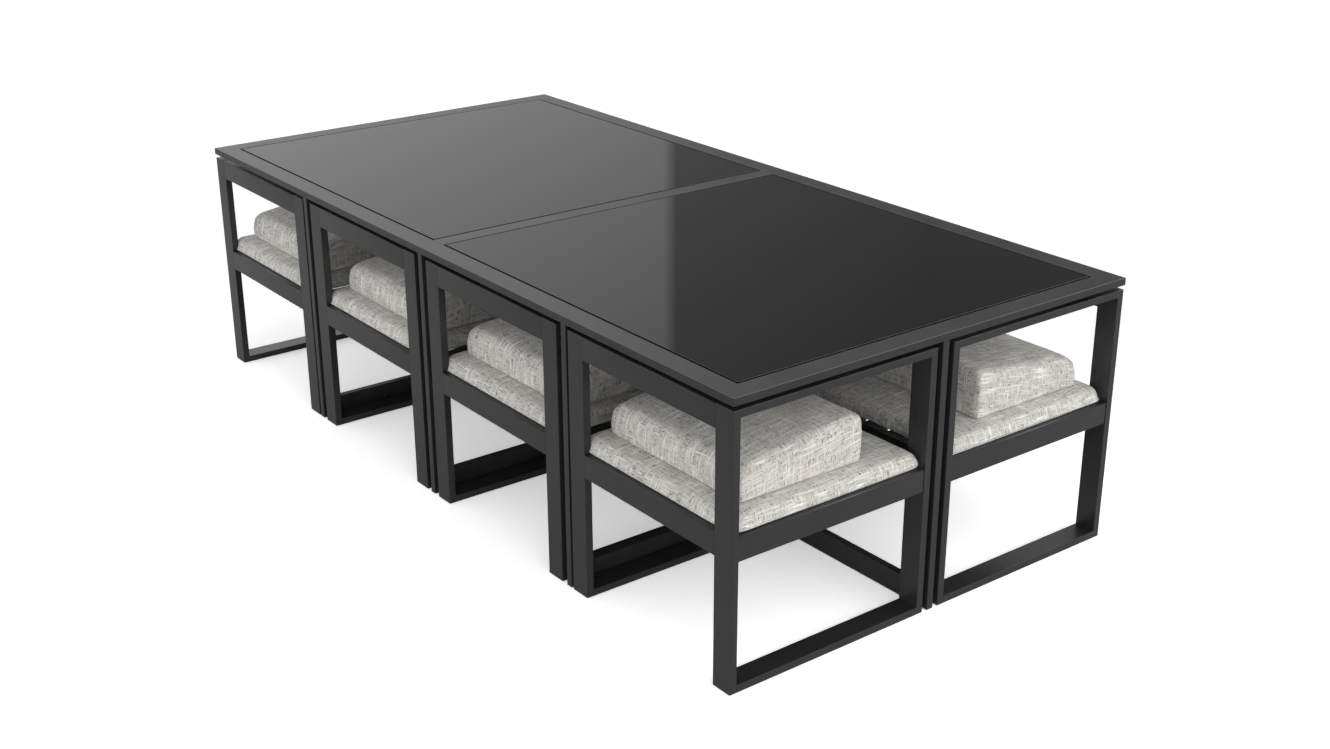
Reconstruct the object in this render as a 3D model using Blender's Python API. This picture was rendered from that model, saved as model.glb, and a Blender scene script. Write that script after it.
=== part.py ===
"""Garden dining set: a glass-topped aluminium table with eight chairs that slide in under it.

Metres, +Z up. The origin is on the floor under the middle of the table. X runs along the
table, and the chairs' backs face -Y in the near row and +Y in the far row. The chairs set
the size of the table: its length, width and height follow from what stands under it.
"""

import math

import bmesh
import bpy
from mathutils import Vector

# Square-cut flat tube, used everywhere in the table and the chairs
TUBE_WIDE = 0.060
TUBE_THIN = 0.020

# Chairs
CHAIR_WIDTH = 0.610
CHAIR_DEPTH = 0.604
CHAIR_HEIGHT = 0.691
SEAT_RAIL_TOP = 0.3885
SLAT_COUNT = 6
SLAT_WIDTH = 0.050
SLAT_THICKNESS = 0.015

# Seat cushion, lying on the slats between the corner posts
SEAT_CUSHION_HEIGHT = 0.040
SEAT_CUSHION_SIDE_MARGIN = 0.015
SEAT_CUSHION_CORNER = 0.038
SEAT_CUSHION_CROWN = 0.004
SEAT_CUSHION_DRAW_IN = 0.004

# Back cushion, put away flat on the seat cushion: a wedge, thin towards the chair's back
BACK_CUSHION_DEPTH = 0.365
BACK_CUSHION_SETBACK = 0.073
BACK_CUSHION_THIN = 0.081
BACK_CUSHION_THICK = 0.139
BACK_CUSHION_SIDE_CLEARANCE = 0.0045
BACK_CUSHION_SOFT_CORNER = 0.042
BACK_CUSHION_CRISP_CORNER = 0.028
BACK_CUSHION_CROWN = 0.004
BACK_CUSHION_DRAW_IN = 0.003

# Rows that each cushion's surface is cut into, and the most of its height that may be round
CUSHION_CUTS = (6, 6, 2)
MOST_ROUNDED_SHARE = 0.85

# How the chairs stand under the table
CHAIRS_PER_ROW = 4
ROWS = 2
BAY_CLEARANCE = 0.020
END_BAY_CLEARANCE = 0.008
CHAIR_FRONT_CLEARANCE = 0.016
CHAIR_TOP_CLEARANCE = 0.009
EDGE_INSET = 0.002

# Table top
CENTRE_BAR_WIDTH = 0.052
GLASS_THICKNESS = 0.006
GLASS_GAP = 0.0015
LEDGE_WIDTH = 0.012
LEDGE_THICKNESS = 0.003

# Gap between pieces that meet, and how far a cutter runs past what it cuts
PIECE_GAP = 0.0003
CUT_OVERRUN = 0.005

# Table sizes that follow from the chairs
FRAME_COUNT = CHAIRS_PER_ROW - 1
HALF_TUBE = TUBE_THIN / 2
INNER_BAY = CHAIR_WIDTH + 2 * BAY_CLEARANCE
FRAME_SPACING = INNER_BAY + TUBE_THIN
END_FRAME_X = FRAME_SPACING * (FRAME_COUNT - 1) / 2
HALF_LENGTH = END_FRAME_X + HALF_TUBE + END_BAY_CLEARANCE + CHAIR_WIDTH + EDGE_INSET
CHAIR_FRONT_Y = HALF_TUBE + CHAIR_FRONT_CLEARANCE
CHAIR_MIDDLE_Y = CHAIR_FRONT_Y + CHAIR_DEPTH / 2
HALF_WIDTH = CHAIR_FRONT_Y + CHAIR_DEPTH + EDGE_INSET
TOP_UNDERSIDE = CHAIR_HEIGHT + CHAIR_TOP_CLEARANCE
TABLE_HEIGHT = TOP_UNDERSIDE + TUBE_THIN
LEG_TOP = TOP_UNDERSIDE - PIECE_GAP


def clear_scene():
    for old in list(bpy.data.objects):
        bpy.data.objects.remove(old, do_unlink=True)


def finish_material(name, colour, roughness, metallic):
    material = bpy.data.materials.new(name)
    material.use_nodes = True
    shader = material.node_tree.nodes["Principled BSDF"]
    shader.inputs["Base Color"].default_value = (*colour, 1.0)
    shader.inputs["Roughness"].default_value = roughness
    shader.inputs["Metallic"].default_value = metallic
    return material


def add_box(mesh, low, high):
    """Add one closed box between two corners to a bmesh."""
    low, high = Vector(low), Vector(high)
    made = bmesh.ops.create_cube(mesh, size=1)["verts"]
    bmesh.ops.scale(mesh, vec=high - low, verts=made)
    bmesh.ops.translate(mesh, vec=(low + high) / 2, verts=made)


def boxes_object(name, boxes):
    mesh = bmesh.new()
    for low, high in boxes:
        add_box(mesh, low, high)
    data = bpy.data.meshes.new(name)
    mesh.to_mesh(data)
    mesh.free()
    made = bpy.data.objects.new(name, data)
    bpy.context.collection.objects.link(made)
    return made


def cut_away(piece, label, boxes):
    """Cut a set of boxes, none of which touch each other, out of a piece."""
    cutter = boxes_object(f"cutter_{piece.name}_{label}", boxes)
    cutter.hide_render = True
    cutter.display_type = "WIRE"
    modifier = piece.modifiers.new(label, "BOOLEAN")
    modifier.operation = "DIFFERENCE"
    modifier.solver = "EXACT"
    modifier.object = cutter


def box_piece(name, low, high, material):
    piece = boxes_object(name, [(low, high)])
    piece.data.materials.append(material)
    return piece


def finished_mesh(pattern):
    """The pattern's mesh with its cuts made, for the copies to share. The pattern goes."""
    graph = bpy.context.evaluated_depsgraph_get()
    data = bpy.data.meshes.new_from_object(pattern.evaluated_get(graph))
    cutters = [modifier.object for modifier in pattern.modifiers]
    for helper in [pattern, *cutters]:
        bpy.data.objects.remove(helper, do_unlink=True)
    return data


# Chair pieces, modelled about a point on the floor under the middle of the chair, back at -Y

HALF_CHAIR = CHAIR_WIDTH / 2
BACK_Y = -CHAIR_DEPTH / 2
FRONT_Y = CHAIR_DEPTH / 2
POST_INNER_X = HALF_CHAIR - TUBE_WIDE
RAIL_END_X = POST_INNER_X - PIECE_GAP
SEAT_RAIL_BOTTOM = SEAT_RAIL_TOP - TUBE_WIDE
SEAT_CUSHION_BOTTOM = SEAT_RAIL_TOP + PIECE_GAP
SEAT_CUSHION_TOP = SEAT_CUSHION_BOTTOM + SEAT_CUSHION_HEIGHT


def side_frame_mesh(side, material):
    """A welded loop of runner, two posts and arm, with the side seat rail across it."""
    outer, inner = side * HALF_CHAIR, side * POST_INNER_X
    low_x, high_x = min(outer, inner), max(outer, inner)
    frame = box_piece(
        "side_frame", (low_x, BACK_Y, 0), (high_x, FRONT_Y, CHAIR_HEIGHT), material
    )
    open_y = (BACK_Y + TUBE_THIN, FRONT_Y - TUBE_THIN)
    past_x = (low_x - CUT_OVERRUN, high_x + CUT_OVERRUN)
    cut_away(frame, "lower_window", [
        ((past_x[0], open_y[0], TUBE_THIN), (past_x[1], open_y[1], SEAT_RAIL_BOTTOM)),
    ])
    cut_away(frame, "upper_window", [
        ((past_x[0], open_y[0], SEAT_RAIL_TOP),
         (past_x[1], open_y[1], CHAIR_HEIGHT - TUBE_THIN)),
    ])
    rail_inner = side * (HALF_CHAIR - TUBE_THIN)
    beside_rail = sorted((rail_inner, side * (POST_INNER_X - CUT_OVERRUN)))
    cut_away(frame, "beside_seat_rail", [
        ((beside_rail[0], open_y[0], SEAT_RAIL_BOTTOM - CUT_OVERRUN),
         (beside_rail[1], open_y[1], SEAT_RAIL_TOP + CUT_OVERRUN)),
    ])
    return finished_mesh(frame)


def back_rail_mesh(material):
    """The flat tube on edge that joins the two back posts at arm height."""
    rail = box_piece(
        "back_rail",
        (-RAIL_END_X, BACK_Y, CHAIR_HEIGHT - TUBE_WIDE),
        (RAIL_END_X, BACK_Y + TUBE_THIN, CHAIR_HEIGHT),
        material,
    )
    return finished_mesh(rail)


def seat_frame_mesh(material):
    """Front and back seat rails with the slats that are welded between them."""
    frame = box_piece(
        "seat_frame",
        (-RAIL_END_X, BACK_Y, SEAT_RAIL_BOTTOM),
        (RAIL_END_X, FRONT_Y, SEAT_RAIL_TOP),
        material,
    )
    rails_y = (BACK_Y + TUBE_THIN, FRONT_Y - TUBE_THIN)
    end_x = RAIL_END_X + CUT_OVERRUN
    cut_away(frame, "under_slats", [
        ((-end_x, rails_y[0], SEAT_RAIL_BOTTOM - CUT_OVERRUN),
         (end_x, rails_y[1], SEAT_RAIL_TOP - SLAT_THICKNESS)),
    ])
    slat_space = (2 * RAIL_END_X - SLAT_COUNT * SLAT_WIDTH) / (SLAT_COUNT + 1)
    gaps = []
    for number in range(SLAT_COUNT + 1):
        start = -RAIL_END_X + number * (slat_space + SLAT_WIDTH)
        stop = start + slat_space
        if number == 0:
            start -= CUT_OVERRUN
        if number == SLAT_COUNT:
            stop += CUT_OVERRUN
        gaps.append((
            (start, rails_y[0], SEAT_RAIL_BOTTOM - CUT_OVERRUN),
            (stop, rails_y[1], SEAT_RAIL_TOP + CUT_OVERRUN),
        ))
    cut_away(frame, "between_slats", gaps)
    return finished_mesh(frame)


def cut_along(mesh, axis, cuts):
    """Cut every edge that runs along an axis into equal lengths."""
    along = [
        edge for edge in mesh.edges
        if abs((edge.verts[0].co - edge.verts[1].co).normalized()[axis]) == 1
    ]
    bmesh.ops.subdivide_edges(mesh, edges=along, cuts=cuts)


def round_the_edge(share, flat_share, straight):
    """A row's place on the straight part, and how far round the curved edge it stands."""
    size = abs(share)
    if size <= flat_share:
        return size / flat_share * straight, 0
    return straight, (size - flat_share) / (1 - flat_share)


def cushion_mesh(name, width, depth, heights, corners, crown, draw_in, cuts, material):
    """A crowned pad on a flat underside: round top edges, sides pulled in between its corners.

    heights and corners give the value at the back end and at the front end. The outermost
    inner row of the cut cube stands halfway round the curve, and the next where it starts.
    """
    mesh = bmesh.new()
    bmesh.ops.create_cube(mesh, size=2)
    for axis in range(3):
        cut_along(mesh, axis, cuts[axis])
    halves = (width / 2, depth / 2)
    for vertex in mesh.verts:
        shares = vertex.co.copy()
        front_share = (shares.y + 1) / 2
        height = heights[0] + (heights[1] - heights[0]) * front_share
        corner = corners[0] + (corners[1] - corners[0]) * front_share
        radii = Vector((corner, corner, min(corner, height * MOST_ROUNDED_SHARE)))
        place, curve = Vector(), Vector()
        for axis in range(2):
            flat_share = (cuts[axis] - 3) / (cuts[axis] + 1)
            straight, turned = round_the_edge(
                shares[axis], flat_share, halves[axis] - radii[axis]
            )
            place[axis] = math.copysign(straight, shares[axis])
            curve[axis] = math.copysign(turned, shares[axis])
        up_share = (shares.z + 1) / 2
        flat_share = (cuts[2] - 1) / (cuts[2] + 1)
        place.z, curve.z = round_the_edge(up_share, flat_share, height - radii.z)
        longest = max(abs(part) for part in curve)
        if longest > 0:
            curve *= longest / curve.length
        for axis in range(3):
            place[axis] += curve[axis] * radii[axis]
        middle_x = 1 - (place.x / halves[0]) ** 2
        middle_y = 1 - (place.y / halves[1]) ** 2
        place.z += crown * middle_x * middle_y * up_share
        place.x -= math.copysign(draw_in, place.x) * shares.x ** 2 * middle_y
        place.y -= math.copysign(draw_in, place.y) * shares.y ** 2 * middle_x
        vertex.co = place
    bmesh.ops.recalc_face_normals(mesh, faces=mesh.faces)
    data = bpy.data.meshes.new(name)
    mesh.to_mesh(data)
    mesh.free()
    data.materials.append(material)
    data.shade_smooth()
    return data


def seat_cushion_mesh(material):
    data = cushion_mesh(
        "seat_cushion",
        CHAIR_WIDTH - 2 * SEAT_CUSHION_SIDE_MARGIN,
        CHAIR_DEPTH - 2 * (TUBE_THIN + PIECE_GAP),
        (SEAT_CUSHION_HEIGHT - SEAT_CUSHION_CROWN,) * 2,
        (SEAT_CUSHION_CORNER,) * 2,
        SEAT_CUSHION_CROWN,
        SEAT_CUSHION_DRAW_IN,
        CUSHION_CUTS,
        material,
    )
    for vertex in data.vertices:
        vertex.co.z += SEAT_CUSHION_BOTTOM
    return data


def back_cushion_mesh(material):
    data = cushion_mesh(
        "back_cushion",
        2 * (POST_INNER_X - BACK_CUSHION_SIDE_CLEARANCE),
        BACK_CUSHION_DEPTH,
        (BACK_CUSHION_THIN, BACK_CUSHION_THICK),
        (BACK_CUSHION_SOFT_CORNER, BACK_CUSHION_CRISP_CORNER),
        BACK_CUSHION_CROWN,
        BACK_CUSHION_DRAW_IN,
        CUSHION_CUTS,
        material,
    )
    middle_y = BACK_Y + BACK_CUSHION_SETBACK + BACK_CUSHION_DEPTH / 2
    for vertex in data.vertices:
        vertex.co.y += middle_y
        vertex.co.z += SEAT_CUSHION_TOP + PIECE_GAP
    return data


def add_chairs(coat, fabric):
    """One set of meshes, shared by all the chairs. A chair slides out with its back first."""
    meshes = {
        "left_side_frame": side_frame_mesh(-1, coat),
        "right_side_frame": side_frame_mesh(1, coat),
        "back_rail": back_rail_mesh(coat),
        "seat_frame": seat_frame_mesh(coat),
        "seat_cushion": seat_cushion_mesh(fabric),
        "back_cushion": back_cushion_mesh(fabric),
    }
    for row in range(ROWS):
        for place in range(CHAIRS_PER_ROW):
            number = row * CHAIRS_PER_ROW + place + 1
            pivot = bpy.data.objects.new(f"chair_{number}_place", None)
            bpy.context.collection.objects.link(pivot)
            side = 2 * row - 1
            pivot.location = (chair_x(place), side * CHAIR_MIDDLE_Y, 0)
            pivot.rotation_euler.z = math.pi * row
            for piece_name, data in meshes.items():
                piece = bpy.data.objects.new(f"chair_{number}_{piece_name}", data)
                bpy.context.collection.objects.link(piece)
                piece.parent = pivot


def chair_x(place):
    """The middle of a chair's bay. The end bays reach from the last frame to the table's edge."""
    if place == 0:
        return -HALF_LENGTH + EDGE_INSET + HALF_CHAIR
    if place == CHAIRS_PER_ROW - 1:
        return HALF_LENGTH - EDGE_INSET - HALF_CHAIR
    return frame_x(place - 1) + FRAME_SPACING / 2


# Table pieces


def frame_x(number):
    return number * FRAME_SPACING - END_FRAME_X


def add_top(coat, glass):
    """Mitred and welded frame with a centre bar, and two panes let in flush on a ledge."""
    frame = box_piece(
        "table_top_frame",
        (-HALF_LENGTH, -HALF_WIDTH, TOP_UNDERSIDE),
        (HALF_LENGTH, HALF_WIDTH, TABLE_HEIGHT),
        coat,
    )
    ledge_top = TABLE_HEIGHT - GLASS_THICKNESS - PIECE_GAP
    ledge_bottom = ledge_top - LEDGE_THICKNESS
    windows_x = (
        (-HALF_LENGTH + TUBE_WIDE, -CENTRE_BAR_WIDTH / 2),
        (CENTRE_BAR_WIDTH / 2, HALF_LENGTH - TUBE_WIDE),
    )
    window_y = HALF_WIDTH - TUBE_WIDE
    above, below = TABLE_HEIGHT + CUT_OVERRUN, TOP_UNDERSIDE - CUT_OVERRUN
    cut_away(frame, "over_ledge", [
        ((start, -window_y, ledge_top), (stop, window_y, above))
        for start, stop in windows_x
    ])
    cut_away(frame, "under_ledge", [
        ((start, -window_y, below), (stop, window_y, ledge_bottom))
        for start, stop in windows_x
    ])
    cut_away(frame, "inside_ledge", [
        ((start + LEDGE_WIDTH, LEDGE_WIDTH - window_y, below),
         (stop - LEDGE_WIDTH, window_y - LEDGE_WIDTH, above))
        for start, stop in windows_x
    ])
    for side_name, (start, stop) in zip(("left", "right"), windows_x):
        box_piece(
            f"table_glass_{side_name}",
            (start + GLASS_GAP, GLASS_GAP - window_y, TABLE_HEIGHT - GLASS_THICKNESS),
            (stop - GLASS_GAP, window_y - GLASS_GAP, TABLE_HEIGHT),
            glass,
        )


def add_cross_frames(coat):
    """Two legs, a floor rail and a top rail in one welded loop, across the table."""
    leg_face = HALF_WIDTH - EDGE_INSET
    for number in range(FRAME_COUNT):
        x = frame_x(number)
        frame = box_piece(
            f"table_cross_frame_{number + 1}",
            (x - HALF_TUBE, -leg_face, 0),
            (x + HALF_TUBE, leg_face, LEG_TOP),
            coat,
        )
        cut_away(frame, "window", [
            ((x - HALF_TUBE - CUT_OVERRUN, TUBE_WIDE - leg_face, TUBE_WIDE),
             (x + HALF_TUBE + CUT_OVERRUN, leg_face - TUBE_WIDE, LEG_TOP - TUBE_WIDE)),
        ])


def add_spine(coat):
    """The frames along the middle of the table that tie the cross frames together."""
    for side, side_name in ((-1, "left"), (1, "right")):
        inner = side * (END_FRAME_X + HALF_TUBE + PIECE_GAP)
        outer = side * (HALF_LENGTH - EDGE_INSET)
        low_x, high_x = sorted((inner, outer))
        frame = box_piece(
            f"table_end_frame_{side_name}",
            (low_x, -HALF_TUBE, 0),
            (high_x, HALF_TUBE, LEG_TOP),
            coat,
        )
        open_x = sorted((inner - side * CUT_OVERRUN, outer - side * TUBE_WIDE))
        cut_away(frame, "window", [
            ((open_x[0], -HALF_TUBE - CUT_OVERRUN, TUBE_WIDE),
             (open_x[1], HALF_TUBE + CUT_OVERRUN, LEG_TOP - TUBE_WIDE)),
        ])
    for number in range(FRAME_COUNT - 1):
        start = frame_x(number) + HALF_TUBE + PIECE_GAP
        stop = frame_x(number + 1) - HALF_TUBE - PIECE_GAP
        for rail_name, bottom in (("floor", 0), ("top", LEG_TOP - TUBE_WIDE)):
            box_piece(
                f"table_{rail_name}_rail_{number + 1}",
                (start, -HALF_TUBE, bottom),
                (stop, HALF_TUBE, bottom + TUBE_WIDE),
                coat,
            )


def main():
    clear_scene()
    coat = finish_material("charcoal_powder_coat", (0.050, 0.051, 0.054), 0.55, 0.0)
    glass = finish_material("black_glass", (0.010, 0.010, 0.011), 0.06, 0.0)
    fabric = finish_material("oatmeal_outdoor_fabric", (0.58, 0.55, 0.51), 0.9, 0.0)
    add_top(coat, glass)
    add_cross_frames(coat)
    add_spine(coat)
    add_chairs(coat, fabric)


main()
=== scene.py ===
"""Looks of the garden dining set: powder-coated tube frames, black glass and linen cushions.

Metres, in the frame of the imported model: +Z up, the floor at zero, the near row of chairs at -Y.
"""

import math

import bmesh
import bpy
from mathutils import Matrix, Vector, noise


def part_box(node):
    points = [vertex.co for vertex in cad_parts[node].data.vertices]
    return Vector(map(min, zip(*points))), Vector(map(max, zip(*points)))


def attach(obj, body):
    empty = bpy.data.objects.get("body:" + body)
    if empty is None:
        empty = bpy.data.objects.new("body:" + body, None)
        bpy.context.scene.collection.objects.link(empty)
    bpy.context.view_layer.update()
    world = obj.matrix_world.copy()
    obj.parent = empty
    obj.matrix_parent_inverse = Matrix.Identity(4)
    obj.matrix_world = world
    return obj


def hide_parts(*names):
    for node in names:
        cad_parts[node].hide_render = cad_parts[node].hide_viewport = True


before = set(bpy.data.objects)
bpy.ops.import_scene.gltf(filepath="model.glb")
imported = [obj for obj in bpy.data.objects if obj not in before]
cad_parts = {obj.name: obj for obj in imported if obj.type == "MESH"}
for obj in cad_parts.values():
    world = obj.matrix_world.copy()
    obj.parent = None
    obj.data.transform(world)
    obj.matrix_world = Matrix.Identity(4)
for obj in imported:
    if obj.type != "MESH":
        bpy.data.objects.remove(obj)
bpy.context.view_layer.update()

# Camera, as solved from the straight edges of the table and chairs
CAMERA_PLACE = (3.7659, -2.6967, 2.0779)
CAMERA_AZIMUTH = math.radians(52.587)
CAMERA_ELEVATION = math.radians(22.0815)
CAMERA_ROLL = math.radians(-0.0985)
CAMERA_LENS = 45.778
CAMERA_SENSOR = 36.0
CAMERA_REACH = 60.0

# Tube frames
TUBE_WIDE = 0.060
TUBE_THIN = 0.020
TUBE_EDGE = 0.0012
INNER_EDGE = 0.0005
SIDE_RAIL_EDGE = 0.003
EDGE_SEGMENTS = 3
SEAM_GAP = 0.0003
CHAIR_TOP_DROP = 0.0015
SIDE_RAIL_RECESS = 0.0018
TOP_FRAME_LIFT = 0.0007
FLUSH = 0.00001
AXIS_MATCH = 0.99
SHARP_ANGLE = math.radians(45)
GLIDE_HEIGHT = 0.001
GLIDE_LENGTH = 0.050
GLIDE_INSET = 0.002

# Slats of the seat frames
SLAT_COUNT = 6
SLAT_WIDTH = 0.050
SLAT_THICKNESS = 0.015

# Glass and the ledge that it rests on
PANE_EDGE = 0.0006
TOP_TUBE_WIDE = 0.059
TOP_BAR_WIDE = 0.051
SEAL_WIDTH = 0.006
SEAL_DROP = 0.0035
BACKING_THICKNESS = 0.0004
BACKING_EDGE = BACKING_THICKNESS / 4
LEDGE_WIDTH = 0.012
LEDGE_THICKNESS = 0.003

# Cushions; pairs of radii are for the back and the front of the chair
BACK_THICK = 0.139
BACK_THIN = 0.081
SEAT_TOP_RADII = (0.026, 0.017)
SEAT_PLAN_RADII = (0.036, 0.013)
SEAT_CROWN = 0.004
SEAT_DIP = 0.006
SEAT_FOOT = 0.003
BACK_TOP_RADII = (0.026, 0.022)
BACK_PLAN_RADII = (0.010, 0.008)
BACK_CROWN = 0.004
BACK_FOOT = 0.0032
FOOT_TUCK = 2.0
FOOT_UNDER_SHARE = 0.7
FOOT_ROUND_SHARE = 0.3
SOFTEST_SHARE = 0.4
NEARLY_ONE = 0.999
DIP_SHARPNESS = 6
DIP_REACH = 2.5
SEAT_OVERHANG = (0.005, 0.0062)
SEAT_SHIFT = 0.0030
BACK_OVERHANG = (0.0065, 0.0045)
SIDE_BULGE = 0.0025
CUSHION_ROWS = (38, 38, 7)
CURVE_ROWS = 6

# Swelling of the covers, and what differs from one chair's cushions to the next
SIM_FRAMES = 16
SIM_QUALITY = 5
SIM_MASS = 0.3
SIM_STRETCH = 30
SIM_SHEAR = 10
SIM_BEND = 2.0
SIM_PRESSURE = 3.0
SIM_REACH = 0.0035
SIM_HELD = 0.012
DENT_SCALE = 9.0
DENT_DEPTH = 0.0012
FINE_DENT_SCALE = 3.1
FINE_DENT_DEPTH = 0.0004
DENT_LEAST = 0.0002
DENT_DRIFT = (3.7, 1.3, 2.1)
CLOTH_DRIFT = (0.731, 0.417)

CHAIR_COUNT = 8
CHAIRS_PER_ROW = 4

# Noise is given as scale, detail and roughness, bumps as strength and distance, and ramps as the
# low and high value that come in and what they turn into
COAT_CLOUDS = (9.0, 3.0)
COAT_PEEL = (900.0, 2.0)
COAT_SPAN = (0.3, 0.7)
COAT_TONES = ((0.0190, 0.0190, 0.0195), (0.0235, 0.0235, 0.024))
COAT_ROUGHNESS = (0.27, 0.33)
COAT_SPECULAR = 0.5
COAT_BUMP = (0.12, 0.0003)

WIPE_STRETCH = (1.0, 6.0, 1.0)
WIPE_NOISE = (2.5, 4.0, 0.6)
GLASS_ROUGHNESS = (0.35, 0.75, 0.012, 0.030)
GLASS_TONES = ((0.006, 0.006, 0.007), (0.009, 0.009, 0.010))
GLASS_IOR = 1.5

BACKING_NOISE = (60.0, 3.0)
BACKING_TONES = ((0.40, 0.40, 0.395), (0.47, 0.47, 0.465))
BACKING_ROUGHNESS = 0.55
BACKING_BUMP = (0.1, 0.0002)

RUBBER_NOISE = (1400.0, 2.0)
RUBBER_TONES = ((0.006, 0.006, 0.006), (0.012, 0.012, 0.012))
RUBBER_ROUGHNESS = 0.7
RUBBER_SPECULAR = 0.2
RUBBER_BUMP = (0.2, 0.0002)

# How far each noise of the weave is drawn out along and across the cloth
THREADS = {
    "warp": (270.0, 15.0, 1.0),
    "weft": (17.0, 290.0, 1.0),
    "warp_here": (84.0, 15.0, 1.0),
    "weft_here": (16.0, 88.0, 1.0),
    "clouds": (14.0, 14.0, 1.0),
    "grain": (1100.0, 1100.0, 1.0),
    "dark_weft": (56.0, 380.0, 1.0),
    "dark_warp": (380.0, 56.0, 1.0),
}
THREAD_DETAIL = 2.0
DARK_DETAIL = 1.0
WARP_SLUBS = ((0.47, 0.62), (0.34, 0.62, 0.15))
WEFT_SLUBS = ((0.49, 0.64), (0.38, 0.66, 0.15))
WEFT_FLECKS = ((0.57, 0.65), (0.56, 0.46))
WARP_FLECKS = ((0.60, 0.68), (0.54, 0.44))
FLECK_SHARE = 0.88
GROUND_SPAN = (0.35, 0.65)
GROUND_TONES = ((0.525, 0.51, 0.48), (0.565, 0.555, 0.525))
SLUB_TONE = (0.92, 0.91, 0.875)
STRAW_RAMP = (0.52, 0.75, 0.0, 0.28)
STRAW_TONE = (0.66, 0.58, 0.50)
FLECK_TONE = (0.15, 0.14, 0.125)
LINEN_ROUGHNESS = 0.92
LINEN_SPECULAR = 0.25
LINEN_SHEEN = 0.25
LINEN_SHEEN_ROUGHNESS = 0.5
GRAIN_SHARE = 0.5
LINEN_BUMP = (0.5, 0.0012)

# Floor
FLOOR_HALF = 14.0
FLOOR_DROP = 0.0004
STAND_HALF = {"X": 1.3, "Y": 0.63}
# Painted shade: gloss and bounce see the floor darker beyond the near row, which dims the set's near
# faces
BOUNCE_WITH_PAINTED_SHADE_SPAN = (-1.75, -1.20)
BOUNCE_WITH_PAINTED_SHADE_TONES = ((0.56, 0.56, 0.56), (0.74, 0.74, 0.74))
# Painted light: the camera sees the floor paler close round the set's footprint, fading to its plain
# paleness farther out
CAMERA_PALENESS_AND_PAINTED_LIGHT_SPAN = (0.20, 1.20)
CAMERA_PALENESS_AND_PAINTED_LIGHT_TONES = ((1.44, 1.44, 1.44), (0.90, 0.90, 0.90))
FLOOR_GLOW = 0.37

# Studio: what gloss sees level with the set, on each side of an upright edge, and overhead, and
# what lights the rest
EDGE_DIRECTION = math.radians(-52.4)
EDGE_SPAN = (-0.004, 0.004)
PALE_HALF = (-0.30, 0.0, 0.904, 0.528)
DIM_HALF = (0.0, 0.16, 0.212, 0.136)
OVERHEAD = (0.42, 0.55, 0.0, 1.08)
LAMP_DIRECTION = (0.20, 0.69, 0.696)
GLINT = (0.88, 0.95, 0.0, 4.4)
SKY_ALL_ROUND = (0.28, 0.60, 1.56, 0.184)
SKY_ONE_SIDE = (0.20, 0.60, 0.44, 1.76)


# Materials


def new_material(name):
    material = bpy.data.materials.new(name)
    material.use_nodes = True
    tree = material.node_tree
    shader = tree.nodes["Principled BSDF"]
    return material, tree, shader


def add_node(tree, kind, **settings):
    node = tree.nodes.new(kind)
    for name, value in settings.items():
        setattr(node, name, value)
    return node


def mapped(tree, source, scale):
    mapping = add_node(tree, "ShaderNodeMapping")
    mapping.inputs["Scale"].default_value = scale
    tree.links.new(source, mapping.inputs["Vector"])
    return mapping.outputs["Vector"]


def noise_value(tree, vector, scale, detail=2.0, roughness=0.5):
    texture = add_node(tree, "ShaderNodeTexNoise")
    texture.inputs["Scale"].default_value = scale
    texture.inputs["Detail"].default_value = detail
    texture.inputs["Roughness"].default_value = roughness
    tree.links.new(vector, texture.inputs["Vector"])
    return texture.outputs["Fac"]


def ramp(tree, value, low, high, start=0.0, stop=1.0):
    node = add_node(tree, "ShaderNodeMapRange", clamp=True)
    node.inputs["From Min"].default_value = low
    node.inputs["From Max"].default_value = high
    node.inputs["To Min"].default_value = start
    node.inputs["To Max"].default_value = stop
    tree.links.new(value, node.inputs["Value"])
    return node.outputs["Result"]


def math_node(tree, operation, first, second):
    node = add_node(tree, "ShaderNodeMath", operation=operation)
    for socket, value in zip(node.inputs, (first, second)):
        if isinstance(value, (int, float)):
            socket.default_value = value
        else:
            tree.links.new(value, socket)
    return node.outputs["Value"]


def mixed_colour(tree, factor, first, second):
    node = add_node(tree, "ShaderNodeMix", data_type="RGBA")
    tree.links.new(factor, node.inputs["Factor"])
    for name, value in (("A", first), ("B", second)):
        socket = [s for s in node.inputs if s.name == name and s.type == "RGBA"][0]
        if isinstance(value, tuple):
            socket.default_value = (*value, 1.0)
        else:
            tree.links.new(value, socket)
    return [s for s in node.outputs if s.type == "RGBA"][0]


def bump(tree, height, strength, distance, shader):
    node = add_node(tree, "ShaderNodeBump")
    node.inputs["Strength"].default_value = strength
    node.inputs["Distance"].default_value = distance
    tree.links.new(height, node.inputs["Height"])
    tree.links.new(node.outputs["Normal"], shader.inputs["Normal"])


def powder_coat():
    """Charcoal coat with a fine orange peel, a little uneven in colour and gloss."""
    material, tree, shader = new_material("charcoal_powder_coat")
    place = add_node(tree, "ShaderNodeTexCoord").outputs["Object"]
    clouds = noise_value(tree, place, *COAT_CLOUDS)
    peel = noise_value(tree, place, *COAT_PEEL)
    colour = mixed_colour(tree, ramp(tree, clouds, *COAT_SPAN), *COAT_TONES)
    tree.links.new(colour, shader.inputs["Base Color"])
    gloss = ramp(tree, clouds, *COAT_SPAN, *COAT_ROUGHNESS)
    tree.links.new(gloss, shader.inputs["Roughness"])
    shader.inputs["Specular IOR Level"].default_value = COAT_SPECULAR
    bump(tree, peel, *COAT_BUMP, shader)
    return material


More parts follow.
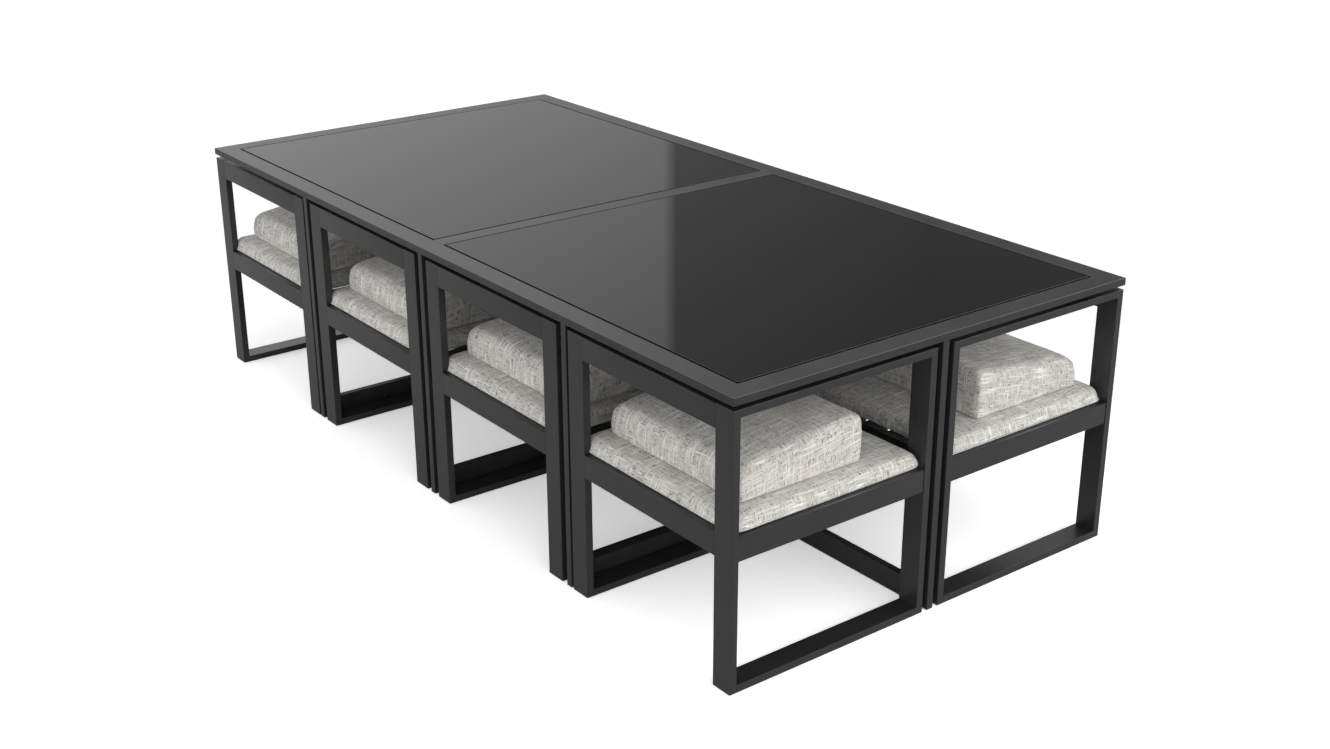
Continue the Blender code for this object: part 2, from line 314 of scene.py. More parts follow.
def black_glass():
    """Glass enamelled black underneath: nearly black, with a polished, faintly wiped surface."""
    material, tree, shader = new_material("black_glass")
    place = add_node(tree, "ShaderNodeTexCoord").outputs["Object"]
    wiped = noise_value(tree, mapped(tree, place, WIPE_STRETCH), *WIPE_NOISE)
    gloss = ramp(tree, wiped, *GLASS_ROUGHNESS)
    tree.links.new(gloss, shader.inputs["Roughness"])
    tint = mixed_colour(tree, wiped, *GLASS_TONES)
    tree.links.new(tint, shader.inputs["Base Color"])
    shader.inputs["IOR"].default_value = GLASS_IOR
    return material


def glass_backing():
    """Satin grey film under the panes, slightly mottled."""
    material, tree, shader = new_material("grey_glass_backing")
    place = add_node(tree, "ShaderNodeTexCoord").outputs["Object"]
    mottle = noise_value(tree, place, *BACKING_NOISE)
    tint = mixed_colour(tree, mottle, *BACKING_TONES)
    tree.links.new(tint, shader.inputs["Base Color"])
    shader.inputs["Roughness"].default_value = BACKING_ROUGHNESS
    bump(tree, mottle, *BACKING_BUMP, shader)
    return material


def black_rubber():
    """Moulded rubber of the glides and of the seals round the panes."""
    material, tree, shader = new_material("black_rubber")
    place = add_node(tree, "ShaderNodeTexCoord").outputs["Object"]
    grain = noise_value(tree, place, *RUBBER_NOISE)
    colour = mixed_colour(tree, grain, *RUBBER_TONES)
    tree.links.new(colour, shader.inputs["Base Color"])
    shader.inputs["Roughness"].default_value = RUBBER_ROUGHNESS
    shader.inputs["Specular IOR Level"].default_value = RUBBER_SPECULAR
    bump(tree, grain, *RUBBER_BUMP, shader)
    return material


def thread_noise(tree, cloth, kind, detail=THREAD_DETAIL):
    return noise_value(tree, mapped(tree, cloth, THREADS[kind]), 1.0, detail)


def where_both(tree, first, second, ramps):
    """One noise of the weave, kept only where another one lets it through."""
    return math_node(tree, "MULTIPLY", ramp(tree, first, *ramps[0]), ramp(tree, second, *ramps[1]))


def linen():
    """Slubby linen weave: pale and dark threads of uneven length both ways of the cloth."""
    material, tree, shader = new_material("oatmeal_linen_weave")
    cloth = add_node(tree, "ShaderNodeUVMap", uv_map="cloth").outputs["UV"]
    warp_here = thread_noise(tree, cloth, "warp_here")
    weft_here = thread_noise(tree, cloth, "weft_here")
    clouds = thread_noise(tree, cloth, "clouds")
    warp_slubs = where_both(tree, thread_noise(tree, cloth, "warp"), warp_here, WARP_SLUBS)
    weft_slubs = where_both(tree, thread_noise(tree, cloth, "weft"), weft_here, WEFT_SLUBS)
    threads = math_node(tree, "MAXIMUM", warp_slubs, weft_slubs)
    ground = mixed_colour(tree, ramp(tree, clouds, *GROUND_SPAN), *GROUND_TONES)
    base = mixed_colour(tree, threads, ground, SLUB_TONE)
    straw = mixed_colour(tree, ramp(tree, clouds, *STRAW_RAMP), base, STRAW_TONE)
    dark_weft = thread_noise(tree, cloth, "dark_weft", DARK_DETAIL)
    dark_warp = thread_noise(tree, cloth, "dark_warp", DARK_DETAIL)
    weft_flecks = where_both(tree, dark_weft, warp_here, WEFT_FLECKS)
    warp_flecks = where_both(tree, dark_warp, weft_here, WARP_FLECKS)
    darkest = math_node(tree, "MAXIMUM", weft_flecks, warp_flecks)
    flecks = math_node(tree, "MULTIPLY", darkest, FLECK_SHARE)
    colour = mixed_colour(tree, flecks, straw, FLECK_TONE)
    tree.links.new(colour, shader.inputs["Base Color"])
    shader.inputs["Roughness"].default_value = LINEN_ROUGHNESS
    shader.inputs["Specular IOR Level"].default_value = LINEN_SPECULAR
    shader.inputs["Sheen Weight"].default_value = LINEN_SHEEN
    shader.inputs["Sheen Roughness"].default_value = LINEN_SHEEN_ROUGHNESS
    grain = math_node(tree, "MULTIPLY", thread_noise(tree, cloth, "grain"), GRAIN_SHARE)
    bump(tree, math_node(tree, "ADD", threads, grain), *LINEN_BUMP, shader)
    return material


# Mesh helpers


def runs_along(edge, axis):
    return abs((edge.verts[0].co - edge.verts[1].co).normalized()[axis]) > AXIS_MATCH


def add_tube(mesh, low, high, edge=TUBE_EDGE, welded_axis=None):
    """One straight tube between two corners, its edges rounded, save at ends that are welded on."""
    low, high = Vector(low), Vector(high)
    made = bmesh.ops.create_cube(mesh, size=1)["verts"]
    bmesh.ops.scale(mesh, vec=high - low, verts=made)
    bmesh.ops.translate(mesh, vec=(low + high) / 2, verts=made)
    edges = {corner for vertex in made for corner in vertex.link_edges}
    if welded_axis is not None:
        edges = {corner for corner in edges if runs_along(corner, welded_axis)}
    round_edges(mesh, edges, edge)


def round_edges(mesh, edges, width):
    bmesh.ops.bevel(
        mesh, geom=list(edges), offset=width, offset_type="OFFSET", segments=EDGE_SEGMENTS,
        profile=0.5, affect="EDGES", clamp_overlap=True, material=-1,
    )


def rectangle_loop(mesh, low, high, flat_axis, level):
    """Four joined edges round a rectangle that faces along an axis."""
    first, second = [axis for axis in range(3) if axis != flat_axis]
    corners = []
    for a, b in ((low, low), (high, low), (high, high), (low, high)):
        place = [0.0, 0.0, 0.0]
        place[flat_axis] = level
        place[first] = a[first]
        place[second] = b[second]
        corners.append(mesh.verts.new(place))
    return [mesh.edges.new((corners[i], corners[i - 1])) for i in range(4)]


def add_loop_frame(
    mesh, low, high, inner_low, inner_high, flat_axis, edge=TUBE_EDGE, inner_edge=INNER_EDGE
):
    """A welded loop of tube: a flat ring between two rectangles, given its depth and round edges."""
    outer = rectangle_loop(mesh, low, high, flat_axis, low[flat_axis])
    inner = rectangle_loop(mesh, inner_low, inner_high, flat_axis, low[flat_axis])
    ring = bmesh.ops.bridge_loops(mesh, edges=outer + inner)["faces"]
    grown = bmesh.ops.extrude_face_region(mesh, geom=ring)["geom"]
    moved = [item for item in grown if isinstance(item, bmesh.types.BMVert)]
    step = Vector((0, 0, 0))
    step[flat_axis] = high[flat_axis] - low[flat_axis]
    bmesh.ops.translate(mesh, vec=step, verts=moved)
    near = {link for link in outer + inner if link.is_valid}
    far = {link for vertex in moved for link in vertex.link_edges}
    bmesh.ops.recalc_face_normals(mesh, faces=mesh.faces)
    sharp = [
        link for link in near | far
        if len(link.link_faces) == 2 and link.calc_face_angle(0) > SHARP_ANGLE
    ]
    middle = (Vector(low) + Vector(high)) / 2
    half = (Vector(high) - Vector(low)) / 2
    sides = [axis for axis in range(3) if axis != flat_axis]

    def is_outside(link):
        place = (link.verts[0].co + link.verts[1].co) / 2 - middle
        return any(abs(abs(place[axis]) - half[axis]) < FLUSH for axis in sides)

    outside = [link for link in sharp if is_outside(link)]
    inside = [link for link in sharp if link not in outside]
    round_edges(mesh, outside, edge)
    round_edges(mesh, [link for link in inside if link.is_valid], inner_edge)


def piece_from(mesh, name, material):
    """Turn a bmesh into a finished object at the origin, with its flats shaded dead flat."""
    bmesh.ops.recalc_face_normals(mesh, faces=mesh.faces)
    mesh.normal_update()
    normals = []
    for vertex in mesh.verts:
        leaning = Vector()
        for face in vertex.link_faces:
            leaning += face.normal * face.calc_area()
        normals.append(leaning.normalized())
    data = bpy.data.meshes.new(name)
    mesh.to_mesh(data)
    mesh.free()
    data.materials.append(material)
    data.shade_smooth()
    data.normals_split_custom_set_from_vertices(normals)
    piece = bpy.data.objects.new(name, data)
    bpy.context.collection.objects.link(piece)
    return piece


def dress(piece, body, slot, *nodes):
    """Say what a piece moves with and which nodes it stands for; the finish named for it is not
    used.
    """
    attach(piece, body)
    if nodes:
        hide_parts(*nodes)


def node_box(node):
    low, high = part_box(node)
    return Vector(low), Vector(high)


def chair_body(number):
    return f"chair_{number}"


# Table


def top_windows():
    """Corners of the two openings in the top frame, left and right of the centre bar."""
    low, high = node_box("table_top_frame")
    tube = Vector((TOP_TUBE_WIDE, TOP_TUBE_WIDE, 0))
    left_high = Vector((-TOP_BAR_WIDE / 2, high.y - TOP_TUBE_WIDE, high.z))
    right_low = Vector((TOP_BAR_WIDE / 2, low.y + TOP_TUBE_WIDE, low.z))
    return {"left": (low + tube, left_high), "right": (right_low, high - tube)}


def dress_top(coat):
    low, high = node_box("table_top_frame")
    ledge_top = node_box("table_glass_left")[0].z - SEAM_GAP
    low.z += TOP_FRAME_LIFT
    windows = top_windows()
    clear = Vector((SEAM_GAP, SEAM_GAP, 0))
    ledge = Vector((LEDGE_WIDTH, LEDGE_WIDTH, 0))
    mesh = bmesh.new()
    opening = (windows["left"][0], windows["right"][1])
    add_loop_frame(mesh, low, high, *opening, 2, TUBE_EDGE, TUBE_EDGE)
    bar_low = Vector((windows["left"][1].x, windows["left"][0].y + SEAM_GAP, low.z))
    bar_high = Vector((windows["right"][0].x, windows["right"][1].y - SEAM_GAP, high.z))
    add_tube(mesh, bar_low, bar_high)
    for start, stop in windows.values():
        ledge_low = Vector((start.x, start.y, ledge_top - LEDGE_THICKNESS)) + clear
        ledge_high = Vector((stop.x, stop.y, ledge_top)) - clear
        ledge_inside = (ledge_low + ledge, ledge_high - ledge)
        add_loop_frame(mesh, ledge_low, ledge_high, *ledge_inside, 2, SEAM_GAP, SEAM_GAP)
    piece = piece_from(mesh, "table_top_frame_tubes", coat)
    dress(piece, "table", "frame_coat", "table_top_frame")


def dress_glass(glass, backing, rubber):
    """The panes, each with a satin backing under it and a black seal round it."""
    seal = Vector((SEAL_WIDTH, SEAL_WIDTH, 0))
    clear = Vector((SEAM_GAP, SEAM_GAP, 0))
    for side, (start, stop) in top_windows().items():
        node = f"table_glass_{side}"
        low, high = node_box(node)
        inner_low = Vector((start.x, start.y, low.z)) + seal
        inner_high = Vector((stop.x, stop.y, high.z)) - seal
        pane_low = inner_low + clear + Vector((0, 0, BACKING_THICKNESS))
        mesh = bmesh.new()
        add_tube(mesh, pane_low, inner_high - clear, PANE_EDGE)
        piece = piece_from(mesh, f"table_glass_pane_{side}", glass)
        dress(piece, "table", "table_glass", node)
        mesh = bmesh.new()
        back_high = Vector((inner_high.x, inner_high.y, pane_low.z - BACKING_EDGE)) - clear
        add_tube(mesh, inner_low + clear, back_high, BACKING_EDGE)
        piece = piece_from(mesh, f"table_glass_backing_{side}", backing)
        dress(piece, "table", "table_glass")
        mesh = bmesh.new()
        seal_low = Vector((start.x, start.y, low.z)) + clear
        seal_high = Vector((stop.x, stop.y, high.z - SEAL_DROP)) - clear
        add_loop_frame(mesh, seal_low, seal_high, inner_low, inner_high, 2, SEAM_GAP, SEAM_GAP)
        piece = piece_from(mesh, f"table_glass_seal_{side}", rubber)
        dress(piece, "table", "frame_coat")


def dress_table_frames(coat, rubber):
    lift = Vector((0, 0, GLIDE_HEIGHT))
    for number in (1, 2, 3):
        node = f"table_cross_frame_{number}"
        low, high = node_box(node)
        mesh = bmesh.new()
        inner_low = Vector((low.x, low.y + TUBE_WIDE, low.z + TUBE_WIDE))
        inner_high = Vector((high.x, high.y - TUBE_WIDE, high.z - TUBE_WIDE))
        add_loop_frame(mesh, low + lift, high, inner_low, inner_high, 0)
        piece = piece_from(mesh, f"table_cross_frame_tubes_{number}", coat)
        dress(piece, "table", "frame_coat", node)
        feet = bmesh.new()
        for y in (low.y + GLIDE_INSET, high.y - GLIDE_INSET - GLIDE_LENGTH):
            add_glide(feet, (low.x + GLIDE_INSET, y), (high.x - GLIDE_INSET, y + GLIDE_LENGTH))
        piece = piece_from(feet, f"table_cross_frame_glides_{number}", rubber)
        dress(piece, "table", "frame_coat")
    for side, outward in (("left", -1), ("right", 1)):
        node = f"table_end_frame_{side}"
        low, high = node_box(node)
        outer_x = low.x if outward < 0 else high.x
        inner_x = high.x if outward < 0 else low.x
        leg_x = outer_x - outward * TUBE_WIDE
        leg = sorted((outer_x, leg_x))
        rail = sorted((leg_x - outward * SEAM_GAP, inner_x))
        mesh = bmesh.new()
        foot_z = low.z + GLIDE_HEIGHT
        add_tube(mesh, (leg[0], low.y, foot_z), (leg[1], high.y, high.z))
        add_tube(mesh, (rail[0], low.y, foot_z), (rail[1], high.y, low.z + TUBE_WIDE))
        add_tube(mesh, (rail[0], low.y, high.z - TUBE_WIDE), (rail[1], high.y, high.z))
        piece = piece_from(mesh, f"table_end_frame_tubes_{side}", coat)
        dress(piece, "table", "frame_coat", node)
        feet = bmesh.new()
        foot_low = (leg[0] + GLIDE_INSET, low.y + GLIDE_INSET)
        add_glide(feet, foot_low, (leg[1] - GLIDE_INSET, high.y - GLIDE_INSET))
        piece = piece_from(feet, f"table_end_frame_glide_{side}", rubber)
        dress(piece, "table", "frame_coat")
    for number in (1, 2):
        for level in ("floor", "top"):
            node = f"table_{level}_rail_{number}"
            low, high = node_box(node)
            rise = lift if level == "floor" else Vector()
            mesh = bmesh.new()
            add_tube(mesh, low + rise, high)
            piece = piece_from(mesh, f"table_{level}_rail_tube_{number}", coat)
            dress(piece, "table", "frame_coat", node)


def add_glide(mesh, low, high):
    """A rubber foot under a tube, down to the floor."""
    add_tube(mesh, (low[0], low[1], 0), (high[0], high[1], GLIDE_HEIGHT - SEAM_GAP / 2), SEAM_GAP)


# Chair frames


def dress_side_frame(number, side, coat):
    node = f"chair_{number}_{side}_side_frame"
    low, high = node_box(node)
    rail_low, rail_high = node_box(f"chair_{number}_seat_frame")
    middle = (rail_low.x + rail_high.x) / 2
    mesh = bmesh.new()
    wall = Vector((0, TUBE_THIN, TUBE_THIN))
    lifted = low + Vector((0, 0, GLIDE_HEIGHT))
    lowered = high - Vector((0, 0, CHAIR_TOP_DROP))
    add_loop_frame(mesh, lifted, lowered, low + wall, high - wall, 0)
    outer = low.x if low.x < middle else high.x
    inward = 1 if low.x < middle else -1
    rail_x = sorted((outer + inward * SIDE_RAIL_RECESS, outer + inward * TUBE_THIN))
    add_tube(
        mesh,
        (rail_x[0], low.y + TUBE_THIN + SEAM_GAP, rail_low.z),
        (rail_x[1], high.y - TUBE_THIN - SEAM_GAP, rail_high.z),
        SIDE_RAIL_EDGE,
        welded_axis=1,
    )
    piece = piece_from(mesh, f"chair_{number}_{side}_side_frame_tubes", coat)
    dress(piece, chair_body(number), "frame_coat", node)


def dress_chair_rails(number, coat):
    node = f"chair_{number}_back_rail"
    low, high = node_box(node)
    mesh = bmesh.new()
    add_tube(mesh, low, high - Vector((0, 0, CHAIR_TOP_DROP)), welded_axis=0)
    piece = piece_from(mesh, f"chair_{number}_back_rail_tube", coat)
    dress(piece, chair_body(number), "frame_coat", node)
    node = f"chair_{number}_seat_frame"
    low, high = node_box(node)
    mesh = bmesh.new()
    add_tube(mesh, low, (high.x, low.y + TUBE_THIN, high.z), welded_axis=0)
    add_tube(mesh, (low.x, high.y - TUBE_THIN, low.z), high, welded_axis=0)
    space = (high.x - low.x - SLAT_COUNT * SLAT_WIDTH) / (SLAT_COUNT + 1)
    for slat in range(SLAT_COUNT):
        x = low.x + space + slat * (space + SLAT_WIDTH)
        add_tube(
            mesh,
            (x, low.y + TUBE_THIN + SEAM_GAP, high.z - SLAT_THICKNESS),
            (x + SLAT_WIDTH, high.y - TUBE_THIN - SEAM_GAP, high.z),
        )
    piece = piece_from(mesh, f"chair_{number}_seat_frame_tubes", coat)
    dress(piece, chair_body(number), "frame_coat", node)


def dress_chair_glides(number, rubber):
    mesh = bmesh.new()
    for side in ("left", "right"):
        low, high = node_box(f"chair_{number}_{side}_side_frame")
        for y in (low.y + GLIDE_INSET, high.y - GLIDE_INSET - GLIDE_LENGTH):
            add_glide(mesh, (low.x + GLIDE_INSET, y), (high.x - GLIDE_INSET, y + GLIDE_LENGTH))
    piece = piece_from(mesh, f"chair_{number}_glides", rubber)
    dress(piece, chair_body(number), "frame_coat")


# Cushions


def cut_along(mesh, axis, cuts):
    along = [edge for edge in mesh.edges if runs_along(edge, axis)]
    bmesh.ops.subdivide_edges(mesh, edges=along, cuts=cuts)


def on_rounded_outline(across, along, half_x, half_y, radius):
    """A point of the unit square's edge, moved to a rectangle with round corners."""
    place = Vector((across * half_x, along * half_y))
    core = Vector((half_x - radius, half_y - radius))
    inner = Vector((max(-core.x, min(core.x, place.x)), max(-core.y, min(core.y, place.y))))
    past = place - inner
    if past.length > radius:
        past *= radius / past.length
    return inner + past


def cushion_place(share, size, heights, plan_radii, top_radii, crown, foot, dip=0.0):
    """Where a point of the cut cube goes on a foam block with round top edges."""
    half_x, half_y = size[0] / 2, size[1] / 2
    front_share = (share.y + 1) / 2
    height = heights[0] + (heights[1] - heights[0]) * front_share
    plan = plan_radii[0] + (plan_radii[1] - plan_radii[0]) * front_share
    top = min(top_radii[0] + (top_radii[1] - top_radii[0]) * front_share, height - foot)
    ring = max(abs(share.x), abs(share.y))
    row_share = 2 / (CUSHION_ROWS[0] + 1)
    curve_share = CURVE_ROWS * row_share
    on_top = share.z > NEARLY_ONE
    underneath = share.z < -NEARLY_ONE
    if on_top:
        turned = max(0.0, (ring - (1 - curve_share)) / curve_share)
        angle = (1 - turned) * math.pi / 2
        inset = SIDE_BULGE + top * (1 - math.cos(angle))
        level = height - top * (1 - math.sin(angle))
        scale_share = min(1.0, ring / (1 - curve_share))
    elif underneath:
        turned = max(0.0, (ring - (1 - row_share)) / row_share)
        inset = SIDE_BULGE + FOOT_TUCK * foot * (1 - turned * FOOT_UNDER_SHARE)
        level = foot * FOOT_ROUND_SHARE * turned
        scale_share = min(1.0, ring / (1 - row_share))
    else:
        up_share = (share.z + 1) / 2
        inset = SIDE_BULGE * (1 - math.sin(up_share * math.pi))
        level = foot + (height - top - foot) * up_share
        scale_share = 1.0
    if ring == 0:
        outline = Vector((0.0, 0.0))
    else:
        corner = max(plan - inset, SOFTEST_SHARE * inset)
        halves = (half_x - inset, half_y - inset)
        outline = on_rounded_outline(share.x / ring, share.y / ring, *halves, corner)
    place = Vector((outline.x * scale_share, outline.y * scale_share, level))
    middle_x = 1 - (place.x / half_x) ** 2
    middle_y = 1 - (place.y / half_y) ** 2
    if not underneath:
        place.z += crown * middle_x * middle_y * (share.z + 1) / 2
        softer = abs(share.x) ** DIP_SHARPNESS * max(0.0, 1 - DIP_REACH * front_share)
        place.z -= dip * softer * (share.z + 1) / 2
    return place


def foam_block(name, size, *shape):
    mesh = bmesh.new()
    bmesh.ops.create_cube(mesh, size=2)
    for axis in range(3):
        cut_along(mesh, axis, CUSHION_ROWS[axis])
    for vertex in mesh.verts:
        vertex.co = cushion_place(vertex.co.copy(), size, *shape)
    bmesh.ops.recalc_face_normals(mesh, faces=mesh.faces)
    data = bpy.data.meshes.new(name)
    mesh.to_mesh(data)
    mesh.free()
    data.shade_smooth()
    block = bpy.data.objects.new(name, data)
    bpy.context.collection.objects.link(block)
    return block


def puff(block, ceiling):
    """Let the cover swell a little over its foam, then hold it to what it rests on and under."""
    at_rest = [vertex.co.copy() for vertex in block.data.vertices]
    cloth = block.modifiers.new("puff", "CLOTH")
    settings = cloth.settings
    settings.quality = SIM_QUALITY
    settings.mass = SIM_MASS
    settings.tension_stiffness = SIM_STRETCH
    settings.compression_stiffness = SIM_STRETCH
    settings.shear_stiffness = SIM_SHEAR
    settings.bending_stiffness = SIM_BEND
    settings.use_pressure = True
    settings.uniform_pressure_force = SIM_PRESSURE
    settings.effector_weights.gravity = 0
    cloth.point_cache.frame_start = 1
    cloth.point_cache.frame_end = SIM_FRAMES
    for step in range(1, SIM_FRAMES + 1):
        bpy.context.scene.frame_set(step)
    graph = bpy.context.evaluated_depsgraph_get()
    swollen = bpy.data.meshes.new_from_object(block.evaluated_get(graph))
    block.modifiers.remove(cloth)
    bpy.context.scene.frame_set(1)
    for vertex, start, moved in zip(block.data.vertices, at_rest, swollen.vertices):
        shift = moved.co - start
        if shift.length > SIM_REACH:
            shift *= SIM_REACH / shift.length
        vertex.co = start + shift * min(1.0, start.z / SIM_HELD)
        vertex.co.z = max(0.0, min(ceiling, vertex.co.z))
    bpy.data.meshes.remove(swollen)


def cloth_map(data, half_x, half_y, top_radius, heights):
    """Lay the weave over a cushion: flat on the top, and folded down over each side."""
    layer = data.uv_layers.new(name="cloth")
    edge = top_radius * (1 - math.sqrt(0.5))
    for polygon in data.polygons:
        normal = polygon.normal
        for corner in polygon.loop_indices:
            place = data.vertices[data.loops[corner].vertex_index].co
            front_share = (place.y / half_y + 1) / 2
            fold_z = heights[0] + (heights[1] - heights[0]) * front_share - edge
            u, v = place.x, place.y
            if abs(normal.z) < max(abs(normal.x), abs(normal.y)):
                if abs(normal.x) > abs(normal.y):
                    u = math.copysign(half_x - edge + fold_z - place.z, place.x)
                else:
                    v = math.copysign(half_y - edge + fold_z - place.z, place.y)
            layer.data[corner].uv = (u, v)


def cushion_cover(pattern, name, node, body, linen_material, turn, centre, level, seed):
    """One chair's copy of a cushion, with dents and a piece of cloth of its own."""
    data = pattern.data.copy()
    data.name = name
    drift = Vector([seed * step for step in DENT_DRIFT])
    for vertex in data.vertices:
        where = vertex.co * DENT_SCALE + drift
        fine_dent = noise.noise(where * FINE_DENT_SCALE) * FINE_DENT_DEPTH
        dent = noise.noise(where) * DENT_DEPTH + fine_dent
        if vertex.co.z > BACK_FOOT:
            vertex.co -= vertex.normal * (abs(dent) + DENT_LEAST)
    for corner in data.uv_layers["cloth"].data:
        corner.uv = [corner.uv[axis] + seed * CLOTH_DRIFT[axis] for axis in (0, 1)]
    data.transform(Matrix.Translation((*centre, level)) @ Matrix.Rotation(turn, 4, "Z"))
    data.materials.append(linen_material)
    piece = bpy.data.objects.new(name, data)
    bpy.context.collection.objects.link(piece)
    smooth = piece.modifiers.new("smooth", "SUBSURF")
    smooth.levels = 1
    smooth.render_levels = 1
    dress(piece, body, "cushion_fabric", node)
    return piece


def dress_cushions(linen_material):
    seat_low, seat_high = node_box("chair_1_seat_cushion")
    back_low, back_high = node_box("chair_1_back_cushion")
    seat_size = [seat_high[axis] - seat_low[axis] + 2 * SEAT_OVERHANG[axis] for axis in (0, 1)]
    back_size = [back_high[axis] - back_low[axis] + 2 * BACK_OVERHANG[axis] for axis in (0, 1)]
    seat_height = seat_high.z - seat_low.z - SEAT_CROWN
    back_height = back_high.z - back_low.z - BACK_CROWN
    thin_height = back_height - (BACK_THICK - BACK_THIN)
    seat = foam_block(
        "seat_cushion_pattern", seat_size, (seat_height, seat_height),
        SEAT_PLAN_RADII, SEAT_TOP_RADII, SEAT_CROWN, SEAT_FOOT, SEAT_DIP,
    )
    back = foam_block(
        "back_cushion_pattern", back_size, (thin_height, back_height),
        BACK_PLAN_RADII, BACK_TOP_RADII, BACK_CROWN, BACK_FOOT,
    )
    puff(seat, seat_high.z - seat_low.z)
    puff(back, back_high.z - back_low.z)
    seat_half = [length / 2 for length in seat_size]
    back_half = [length / 2 for length in back_size]
    cloth_map(seat.data, *seat_half, SEAT_TOP_RADII[0], (seat_height, seat_height))
    cloth_map(back.data, *back_half, BACK_TOP_RADII[0], (thin_height, back_height))
    for number in range(1, CHAIR_COUNT + 1):
        body = chair_body(number)
        turn = 0.0 if number <= CHAIRS_PER_ROW else math.pi
        for kind, pattern in (("seat", seat), ("back", back)):
            node = f"chair_{number}_{kind}_cushion"
            low, high = node_box(node)
            shift = SEAT_SHIFT if kind == "seat" else 0.0
            backward = -shift if number <= CHAIRS_PER_ROW else shift
            centre = ((low.x + high.x) / 2, (low.y + high.y) / 2 + backward)
            seed = number + (0.5 if kind == "back" else 0.0)
            cushion_cover(
                pattern, f"chair_{number}_{kind}_cushion_cover", node, body,
                linen_material, turn, centre, low.z, seed,
            )
    for pattern in (seat, back):
        bpy.data.objects.remove(pattern, do_unlink=True)


# Studio


def add_camera():
    data = bpy.data.cameras.new("camera")
    data.lens = CAMERA_LENS
    data.sensor_width = CAMERA_SENSOR
    data.clip_end = CAMERA_REACH
    camera = bpy.data.objects.new("camera", data)
    turn = Matrix.Rotation(CAMERA_AZIMUTH, 4, "Z")
    turn = turn @ Matrix.Rotation(math.pi / 2 - CAMERA_ELEVATION, 4, "X")
    turn = turn @ Matrix.Rotation(CAMERA_ROLL, 4, "Z")
    camera.matrix_world = Matrix.Translation(CAMERA_PLACE) @ turn
    bpy.context.collection.objects.link(camera)
    bpy.context.scene.camera = camera


def facing(tree, direction, toward):
    """How far a direction of the sky points the same way as another."""
    node = add_node(tree, "ShaderNodeVectorMath", operation="DOT_PRODUCT")
    node.inputs[1].default_value = toward
    tree.links.new(direction, node.inputs[0])
    return node.outputs["Value"]


def blended(tree, factor, first, second):
    """A number between two others; the second may be plain."""
    node = add_node(tree, "ShaderNodeMix", data_type="FLOAT")
    tree.links.new(factor, node.inputs["Factor"])
    tree.links.new(first, node.inputs[2])
    if isinstance(second, float):
        node.inputs[3].default_value = second
    else:
        tree.links.new(second, node.inputs[3])
    return node.outputs[0]


def add_world():
    """White behind the set, with a pale half and a dim half that only gloss picks up."""
    world = bpy.data.worlds.new("studio")
    world.use_nodes = True
    tree = world.node_tree
    tree.nodes.clear()
    direction = add_node(tree, "ShaderNodeTexCoord").outputs["Generated"]
    flat = add_node(tree, "ShaderNodeVectorMath", operation="MULTIPLY")
    flat.inputs[1].default_value = (1.0, 1.0, 0.0)
    tree.links.new(direction, flat.inputs[0])
    unit = add_node(tree, "ShaderNodeVectorMath", operation="NORMALIZE")
    tree.links.new(flat.outputs[0], unit.inputs[0])
    edge_normal = (math.cos(EDGE_DIRECTION), -math.sin(EDGE_DIRECTION), 0.0)
    across = facing(tree, unit.outputs[0], edge_normal)
    pale = ramp(tree, across, *PALE_HALF)
    dim = ramp(tree, across, *DIM_HALF)
    halves = blended(tree, ramp(tree, across, *EDGE_SPAN), pale, dim)
    axes = add_node(tree, "ShaderNodeSeparateXYZ")
    tree.links.new(direction, axes.inputs[0])
    up = axes.outputs["Z"]
    one_side = math_node(tree, "MAXIMUM", axes.outputs["X"], 0.0)
    lopsided = math_node(tree, "MULTIPLY", one_side, ramp(tree, up, *SKY_ONE_SIDE))
    ambient = math_node(tree, "ADD", ramp(tree, up, *SKY_ALL_ROUND), lopsided)
    glint = ramp(tree, facing(tree, direction, LAMP_DIRECTION), *GLINT)
    above = math_node(tree, "ADD", ramp(tree, up, *OVERHEAD), glint)
    glossy = math_node(tree, "ADD", halves, above)
    path = add_node(tree, "ShaderNodeLightPath")
    lit = blended(tree, path.outputs["Is Glossy Ray"], ambient, glossy)
    shown = blended(tree, path.outputs["Is Camera Ray"], lit, 1.0)
    background = add_node(tree, "ShaderNodeBackground")
    background.inputs["Color"].default_value = (1.0, 1.0, 1.0, 1.0)
    tree.links.new(shown, background.inputs["Strength"])
    output = add_node(tree, "ShaderNodeOutputWorld")
    tree.links.new(background.outputs[0], output.inputs["Surface"])
    bpy.context.scene.world = world


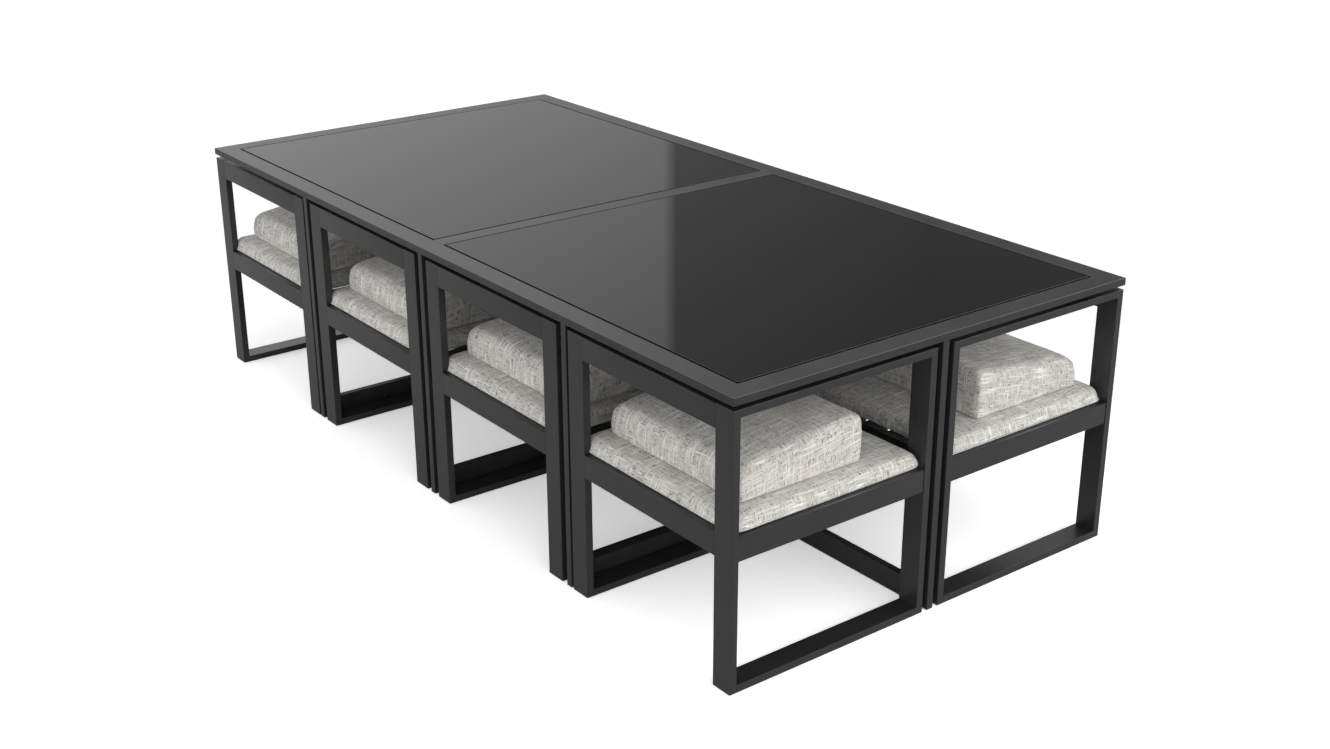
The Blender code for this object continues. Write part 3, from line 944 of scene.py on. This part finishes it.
def add_floor():
    """Pale floor that reads white where it is lit and keeps the set's soft shadow; the camera sees
    it paler near the set, which is painted light, and gloss and bounce see it darker beyond the near
    row, which is painted shade.
    """
    mesh = bmesh.new()
    bmesh.ops.create_grid(mesh, x_segments=1, y_segments=1, size=FLOOR_HALF)
    bmesh.ops.translate(mesh, vec=(0, 0, -FLOOR_DROP), verts=mesh.verts)
    material = bpy.data.materials.new("pale_floor")
    material.use_nodes = True
    tree = material.node_tree
    tree.nodes.clear()
    paint = add_node(tree, "ShaderNodeBsdfDiffuse")
    path = add_node(tree, "ShaderNodeLightPath")
    seen = path.outputs["Is Camera Ray"]
    place = add_node(tree, "ShaderNodeTexCoord").outputs["Object"]
    axes = add_node(tree, "ShaderNodeSeparateXYZ")
    tree.links.new(place, axes.inputs[0])
    # Painted shade: darker floor beyond the near row, seen only by gloss and bounce
    bounce_with_painted_shade = mixed_colour(tree, ramp(tree, axes.outputs["Y"], *BOUNCE_WITH_PAINTED_SHADE_SPAN), *BOUNCE_WITH_PAINTED_SHADE_TONES)
    beyond = []
    for name, half in STAND_HALF.items():
        reach = math_node(tree, "ABSOLUTE", axes.outputs[name], 0.0)
        past = math_node(tree, "MAXIMUM", math_node(tree, "SUBTRACT", reach, half), 0.0)
        beyond.append(math_node(tree, "POWER", past, 2.0))
    away = math_node(tree, "SQRT", math_node(tree, "ADD", *beyond), 0.0)
    # Painted light: the floor is paler for the camera near the set, which lifts its shade there
    paleness_and_painted_light = mixed_colour(tree, ramp(tree, away, *CAMERA_PALENESS_AND_PAINTED_LIGHT_SPAN), *CAMERA_PALENESS_AND_PAINTED_LIGHT_TONES)
    shade = mixed_colour(tree, seen, bounce_with_painted_shade, paleness_and_painted_light)
    tree.links.new(shade, paint.inputs["Color"])
    glow = add_node(tree, "ShaderNodeEmission")
    lift = math_node(tree, "MULTIPLY", seen, FLOOR_GLOW)
    tree.links.new(lift, glow.inputs["Strength"])
    both = add_node(tree, "ShaderNodeAddShader")
    tree.links.new(paint.outputs[0], both.inputs[0])
    tree.links.new(glow.outputs[0], both.inputs[1])
    output = add_node(tree, "ShaderNodeOutputMaterial")
    tree.links.new(both.outputs[0], output.inputs["Surface"])
    data = bpy.data.meshes.new("floor")
    mesh.to_mesh(data)
    mesh.free()
    data.materials.append(material)
    floor = bpy.data.objects.new("floor", data)
    bpy.context.collection.objects.link(floor)


def main():
    bpy.context.scene.view_settings.view_transform = "Standard"
    add_camera()
    add_world()
    add_floor()
    coat = powder_coat()
    glass = black_glass()
    backing = glass_backing()
    rubber = black_rubber()
    linen_material = linen()
    dress_top(coat)
    dress_glass(glass, backing, rubber)
    dress_table_frames(coat, rubber)
    for number in range(1, CHAIR_COUNT + 1):
        for side in ("left", "right"):
            dress_side_frame(number, side, coat)
        dress_chair_rails(number, coat)
        dress_chair_glides(number, rubber)
    dress_cushions(linen_material)


main()
